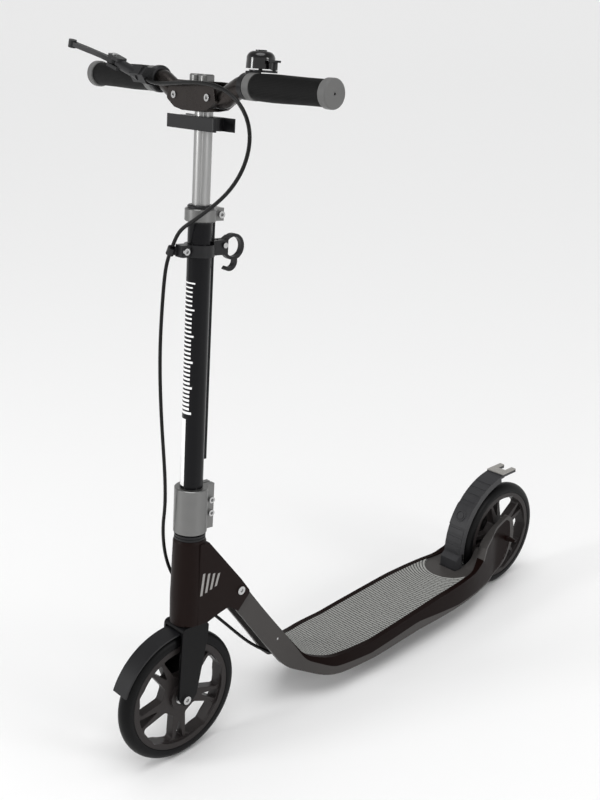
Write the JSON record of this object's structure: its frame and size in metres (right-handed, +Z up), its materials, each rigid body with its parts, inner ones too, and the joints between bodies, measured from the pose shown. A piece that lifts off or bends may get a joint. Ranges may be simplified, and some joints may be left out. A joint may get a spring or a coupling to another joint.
{
  "type": "kick scooter",
  "caption": "Folding two-wheel kick scooter with ribbed foot deck, rear fender brake, hand brake, bell and height-adjustable T-bar.",
  "frame": {"origin": "on the ground, midway between the wheels", "axes": "+X forward, +Y to the rider's left, +Z up"},
  "size_m": [0.973, 0.48, 1.0248],
  "materials": {
    "graphite": "painted cast alloy, satin graphite grey",
    "dark_brown": "dark brown lacquered skin",
    "mat_grey": "light grey ribbed mat",
    "tyre_black": "smooth black polyurethane",
    "core_black": "black moulded core",
    "bright_steel": "zinc plated steel",
    "head_brown": "dark brown painted casting",
    "black_paint": "satin black paint",
    "stem_black": "satin black painted tube",
    "collar_grey": "satin grey clamp",
    "post_silver": "satin anodised tube",
    "gunmetal": "glossy dark metallic",
    "grip_black": "black ribbed rubber",
    "ring_grey": "grey moulded trim",
    "plastic_black": "black moulded plastic",
    "bell_black": "gloss black",
    "cable_black": "black cable housing",
    "tail_silver": "speckled silver plate"
  },
  "bodies": {
    "deck": {"deck_plate": "graphite", "left_rail": "graphite", "right_rail": "graphite", "neck_plate": "graphite", "left_side_band": "dark_brown", "right_side_band": "dark_brown", "foot_mat": "mat_grey", "rear_axle": "bright_steel", "deck_pins": "bright_steel", "fender_spring": "bright_steel", "cable_deck": "cable_black"},
    "fender": {"rear_fender": "plastic_black", "fender_cap": "tail_silver", "fender_pad": "grip_black"},
    "shoe": {"brake_shoe": "bright_steel", "brake_lining": "grip_black", "brake_wire": "bright_steel"},
    "rear_wheel": {"rear_tyre": "tyre_black", "rear_wheel_core": "core_black", "rear_bearings": "bright_steel"},
    "head": {"head_casting": "head_brown", "head_bearings": "bright_steel", "fold_bolt": "bright_steel", "cable_head": "cable_black"},
    "lock_button": {"fold_button": "bright_steel"},
    "steering": {"fork": "black_paint", "steerer_tube": "bright_steel", "front_mudguard": "plastic_black", "front_axle": "bright_steel", "headset_seal": "plastic_black", "lower_collar": "collar_grey", "upper_collar": "collar_grey", "stem_fasteners": "bright_steel", "stem_tube": "stem_black", "top_bush": "plastic_black", "hook_bracket": "plastic_black", "cable_stem": "cable_black"},
    "hook": {"hook_lever": "plastic_black"},
    "front_wheel": {"front_tyre": "tyre_black", "front_wheel_core": "core_black", "front_bearings": "bright_steel"},
    "post": {"inner_post": "post_silver", "bar_clip": "plastic_black", "bar_casting": "gunmetal", "bar_hinge_pins": "bright_steel", "cable_loop": "cable_black"},
    "latch": {"bar_latch": "bright_steel"},
    "left_bar": {"left_handlebar": "gunmetal", "left_grip": "grip_black", "left_grip_rings": "ring_grey", "bell_base": "plastic_black", "bell_dome": "bell_black"},
    "striker": {"bell_striker": "plastic_black"},
    "right_bar": {"right_handlebar": "gunmetal", "right_grip": "grip_black", "right_grip_rings": "ring_grey", "brake_perch": "plastic_black", "lever_pin": "bright_steel"},
    "lever": {"brake_lever": "plastic_black"}
  },
  "joints": [
    {"name": "rear_wheel_spin", "type": "hinge", "parent": "deck", "child": "rear_wheel", "pos_m": [-0.384, 0, 0.1025], "axis": [0, 1, 0], "continuous": true},
    {"name": "fender_press", "type": "hinge", "parent": "deck", "child": "fender", "pos_m": [-0.252, 0, 0.064], "axis": [0, 1, 0], "range_deg": [-1.8, 0], "stiffness_Nm_per_rad": 2, "springref_deg": 17.19},
    {"name": "shoe_swing", "type": "hinge", "parent": "deck", "child": "shoe", "pos_m": [-0.268, 0, 0.052], "axis": [0, 1, 0], "range_deg": [-3.8, 0]},
    {"name": "stem_fold", "type": "hinge", "parent": "deck", "child": "head", "pos_m": [0.278, 0, 0.247], "axis": [0, 1, 0], "range_deg": [-90, 0], "deforming": ["cable_head", "cable_deck"]},
    {"name": "lock_pull", "type": "slide", "parent": "head", "child": "lock_button", "axis": [0, 1, 0], "range_m": [-0.004, 0], "stiffness_N_per_m": 600, "springref_m": 0.006},
    {"name": "steering_turn", "type": "hinge", "parent": "head", "child": "steering", "pos_m": [0.3619, 0, 0.2], "axis": [-0.0825, 0, 0.9966], "range_deg": [-50, 50], "deforming": ["cable_head"]},
    {"name": "hook_lift", "type": "hinge", "parent": "steering", "child": "hook", "pos_m": [0.27894, 0, 0.76609], "axis": [0, 1, 0], "range_deg": [0, 25], "stiffness_Nm_per_rad": 0.12, "springref_deg": -28.65},
    {"name": "front_wheel_spin", "type": "hinge", "parent": "steering", "child": "front_wheel", "pos_m": [0.384, 0, 0.1025], "axis": [0, 1, 0], "continuous": true},
    {"name": "post_height", "type": "slide", "parent": "steering", "child": "post", "axis": [-0.0825, 0, 0.9966], "range_m": [-0.09, 0], "deforming": ["cable_loop"]},
    {"name": "latch_press", "type": "slide", "parent": "post", "child": "latch", "axis": [-0.0825, 0, 0.9966], "range_m": [-0.003, 0], "stiffness_N_per_m": 400, "springref_m": 0.004},
    {"name": "left_bar_fold", "type": "hinge", "parent": "post", "child": "left_bar", "pos_m": [0.30405, 0.034, 0.95982], "axis": [0.9966, 0, 0.0825], "range_deg": [-88, 0]},
    {"name": "right_bar_fold", "type": "hinge", "parent": "post", "child": "right_bar", "pos_m": [0.30405, -0.034, 0.95982], "axis": [0.9966, 0, 0.0825], "range_deg": [0, 88], "deforming": ["cable_loop"]},
    {"name": "striker_flick", "type": "hinge", "parent": "left_bar", "child": "striker", "pos_m": [0.28628, 0.119, 0.99266], "axis": [-0.0825, 0, 0.9966], "range_deg": [0, 25], "stiffness_Nm_per_rad": 0.02, "springref_deg": -28.65},
    {"name": "brake_pull", "type": "hinge", "parent": "right_bar", "child": "lever", "pos_m": [0.326, -0.15991, 0.99773], "axis": [-0.0797, 0.2577, 0.9629], "range_deg": [-18, 0], "stiffness_Nm_per_rad": 0.8, "springref_deg": 20.05}
  ],
  "couplings": [
    {"joint": "shoe_swing", "follows": "brake_pull", "ratio": 0.21}
  ]
}
